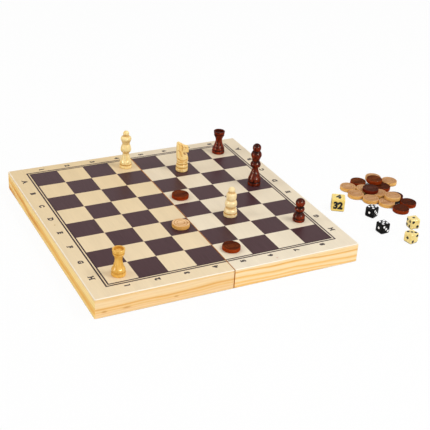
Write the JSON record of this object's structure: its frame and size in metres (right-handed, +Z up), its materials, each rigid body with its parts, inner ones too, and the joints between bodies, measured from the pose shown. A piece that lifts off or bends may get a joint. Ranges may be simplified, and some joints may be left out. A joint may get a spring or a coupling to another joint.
{
  "type": "games compendium box",
  "caption": "Folding wooden games box opened flat as a chess board, its two hollow halves hinged along the middle, with turned chessmen, draughts, dice and a doubling cube.",
  "frame": {"origin": "middle of the fold, on the plane of the rims, which is the surface the opened case stands on", "axes": "+X along the front edge towards the half that stays still, +Y to the back, +Z up out of the playing face"},
  "size_m": [0.5231, 0.3374, 0.0863],
  "materials": {
    "pine": "planed pine under clear satin lacquer",
    "printed_panel": "pale printed and lacquered board",
    "light_lacquered_wood": "turned, gloss lacquered",
    "red_stained_wood": "turned, stained red-brown, gloss lacquered",
    "light_draught_wood": "turned, satin",
    "dark_draught_wood": "turned, stained, satin",
    "brass": "pressed and polished",
    "pin_steel": "drawn wire",
    "magnet": "nickel plated",
    "black_plastic": "moulded, polished",
    "cream_plastic": "moulded, polished"
  },
  "bodies": {
    "right_half": {"right_front_rail": "pine", "right_back_rail": "pine", "right_outer_rail": "pine", "right_fold_rail": "pine", "right_panel": "printed_panel", "hinge_1_right_leaf": "brass", "hinge_2_right_leaf": "brass", "hinge_1_pin": "pin_steel", "hinge_2_pin": "pin_steel", "right_hinge_screws": "brass", "right_magnets": "magnet"},
    "left_half": {"left_front_rail": "pine", "left_back_rail": "pine", "left_outer_rail": "pine", "left_fold_rail": "pine", "left_panel": "printed_panel", "hinge_1_left_leaf": "brass", "hinge_2_left_leaf": "brass", "left_hinge_screws": "brass", "left_magnets": "magnet"},
    "chess_bishop_light": {"chess_bishop_light": "light_lacquered_wood"},
    "chess_king_dark": {"chess_king_dark": "red_stained_wood"},
    "chess_knight_light": {"chess_knight_light": "light_lacquered_wood"},
    "chess_pawn_dark": {"chess_pawn_dark": "red_stained_wood"},
    "chess_queen_light": {"chess_queen_light": "light_lacquered_wood"},
    "chess_rook_dark": {"chess_rook_dark": "red_stained_wood"},
    "chess_rook_light": {"chess_rook_light": "light_lacquered_wood"},
    "die_black_1": {"die_black_1": "black_plastic"},
    "die_black_2": {"die_black_2": "black_plastic"},
    "die_cream_1": {"die_cream_1": "cream_plastic"},
    "die_cream_2": {"die_cream_2": "cream_plastic"},
    "doubling_cube": {"doubling_cube": "cream_plastic"},
    "draught_dark_1": {"draught_dark_1": "dark_draught_wood"},
    "draught_dark_2": {"draught_dark_2": "dark_draught_wood"},
    "draught_light": {"draught_light": "light_draught_wood"},
    "heap_draught_light_1": {"heap_draught_light_1": "light_draught_wood"},
    "heap_draught_light_2": {"heap_draught_light_2": "light_draught_wood"},
    "heap_draught_light_8": {"heap_draught_light_8": "light_draught_wood"},
    "heap_draught_dark_1": {"heap_draught_dark_1": "dark_draught_wood"},
    "heap_draught_dark_6": {"heap_draught_dark_6": "dark_draught_wood"},
    "heap_draught_dark_7": {"heap_draught_dark_7": "dark_draught_wood"},
    "heap_draught_light_5": {"heap_draught_light_5": "light_draught_wood"},
    "heap_draught_dark_3": {"heap_draught_dark_3": "dark_draught_wood"},
    "heap_draught_light_3": {"heap_draught_light_3": "light_draught_wood"},
    "heap_draught_dark_4": {"heap_draught_dark_4": "dark_draught_wood"},
    "heap_draught_dark_2": {"heap_draught_dark_2": "dark_draught_wood"},
    "heap_draught_light_4": {"heap_draught_light_4": "light_draught_wood"},
    "heap_draught_light_6": {"heap_draught_light_6": "light_draught_wood"},
    "heap_draught_light_9": {"heap_draught_light_9": "light_draught_wood"},
    "heap_draught_dark_5": {"heap_draught_dark_5": "dark_draught_wood"},
    "heap_draught_light_7": {"heap_draught_light_7": "light_draught_wood"}
  },
  "joints": [
    {"name": "box_fold", "type": "hinge", "parent": "right_half", "child": "left_half", "pos_m": [0, 0, 0], "axis": [0, -1, 0], "range_deg": [0, 180]},
    {"name": "chess_bishop_light_lift", "type": "slide", "parent": "right_half", "child": "chess_bishop_light", "axis": [0, 0, 1], "range_m": [0, 0.04]},
    {"name": "chess_king_dark_lift", "type": "slide", "parent": "right_half", "child": "chess_king_dark", "axis": [0, 0, 1], "range_m": [0, 0.04]},
    {"name": "chess_knight_light_lift", "type": "slide", "parent": "right_half", "child": "chess_knight_light", "axis": [0, 0, 1], "range_m": [0, 0.04]},
    {"name": "chess_pawn_dark_lift", "type": "slide", "parent": "right_half", "child": "chess_pawn_dark", "axis": [0, 0, 1], "range_m": [0, 0.04]},
    {"name": "chess_queen_light_lift", "type": "slide", "parent": "left_half", "child": "chess_queen_light", "axis": [0, 0, 1], "range_m": [0, 0.04]},
    {"name": "chess_rook_dark_lift", "type": "slide", "parent": "right_half", "child": "chess_rook_dark", "axis": [0, 0, 1], "range_m": [0, 0.04]},
    {"name": "chess_rook_light_lift", "type": "slide", "parent": "left_half", "child": "chess_rook_light", "axis": [0, 0, 1], "range_m": [0, 0.04]},
    {"name": "die_black_1_lift", "type": "slide", "parent": "right_half", "child": "die_black_1", "axis": [0, 0, 1], "range_m": [0, 0.03]},
    {"name": "die_black_2_lift", "type": "slide", "parent": "right_half", "child": "die_black_2", "axis": [0, 0, 1], "range_m": [0, 0.03]},
    {"name": "die_cream_1_lift", "type": "slide", "parent": "right_half", "child": "die_cream_1", "axis": [0, 0, 1], "range_m": [0, 0.03]},
    {"name": "die_cream_2_lift", "type": "slide", "parent": "right_half", "child": "die_cream_2", "axis": [0, 0, 1], "range_m": [0, 0.03]},
    {"name": "doubling_cube_lift", "type": "slide", "parent": "right_half", "child": "doubling_cube", "axis": [0, 0, 1], "range_m": [0, 0.03]},
    {"name": "draught_dark_1_lift", "type": "slide", "parent": "right_half", "child": "draught_dark_1", "axis": [0, 0, 1], "range_m": [0, 0.03]},
    {"name": "draught_dark_2_lift", "type": "slide", "parent": "right_half", "child": "draught_dark_2", "axis": [0, 0, 1], "range_m": [0, 0.03]},
    {"name": "draught_light_lift", "type": "slide", "parent": "left_half", "child": "draught_light", "axis": [0, 0, 1], "range_m": [0, 0.03]},
    {"name": "heap_draught_light_1_lift", "type": "slide", "parent": "right_half", "child": "heap_draught_light_1", "axis": [0, 0, 1], "range_m": [0, 0.025]},
    {"name": "heap_draught_light_2_lift", "type": "slide", "parent": "right_half", "child": "heap_draught_light_2", "axis": [0, 0, 1], "range_m": [0, 0.025]},
    {"name": "heap_draught_light_8_lift", "type": "slide", "parent": "right_half", "child": "heap_draught_light_8", "axis": [0, 0, 1], "range_m": [0, 0.025]},
    {"name": "heap_draught_dark_1_lift", "type": "slide", "parent": "right_half", "child": "heap_draught_dark_1", "axis": [0, 0, 1], "range_m": [0, 0.025]},
    {"name": "heap_draught_dark_6_lift", "type": "slide", "parent": "right_half", "child": "heap_draught_dark_6", "axis": [0, 0, 1], "range_m": [0, 0.025]},
    {"name": "heap_draught_dark_7_lift", "type": "slide", "parent": "right_half", "child": "heap_draught_dark_7", "axis": [0, 0, 1], "range_m": [0, 0.025]},
    {"name": "heap_draught_light_5_lift", "type": "slide", "parent": "right_half", "child": "heap_draught_light_5", "axis": [0, 0, 1], "range_m": [0, 0.025]},
    {"name": "heap_draught_dark_3_lift", "type": "slide", "parent": "heap_draught_light_5", "child": "heap_draught_dark_3", "axis": [0, 0, 1], "range_m": [0, 0.025]},
    {"name": "heap_draught_light_3_lift", "type": "slide", "parent": "right_half", "child": "heap_draught_light_3", "axis": [0, 0, 1], "range_m": [0, 0.025]},
    {"name": "heap_draught_dark_4_lift", "type": "slide", "parent": "right_half", "child": "heap_draught_dark_4", "axis": [0, 0, 1], "range_m": [0, 0.025]},
    {"name": "heap_draught_dark_2_lift", "type": "slide", "parent": "heap_draught_dark_4", "child": "heap_draught_dark_2", "axis": [0, 0, 1], "range_m": [0, 0.025]},
    {"name": "heap_draught_light_4_slide", "type": "slide", "parent": "right_half", "child": "heap_draught_light_4", "axis": [-0.8619, -0.507, 0], "range_m": [0, 0.016]},
    {"name": "heap_draught_light_6_slide", "type": "slide", "parent": "right_half", "child": "heap_draught_light_6", "axis": [-0.8139, -0.581, 0], "range_m": [0, 0.016]},
    {"name": "heap_draught_light_9_slide", "type": "slide", "parent": "right_half", "child": "heap_draught_light_9", "axis": [0.1, 0.995, 0], "range_m": [0, 0.014]},
    {"name": "heap_draught_dark_5_slide", "type": "slide", "parent": "right_half", "child": "heap_draught_dark_5", "axis": [0.9419, 0.336, 0], "range_m": [0, 0.024]},
    {"name": "heap_draught_light_7_lift", "type": "slide", "parent": "heap_draught_dark_5", "child": "heap_draught_light_7", "axis": [0, 0, 1], "range_m": [0, 0.025]}
  ],
  "couplings": [
    {"joint": "heap_draught_light_3_lift", "follows": "heap_draught_light_5_lift", "ratio": 1}
  ]
}
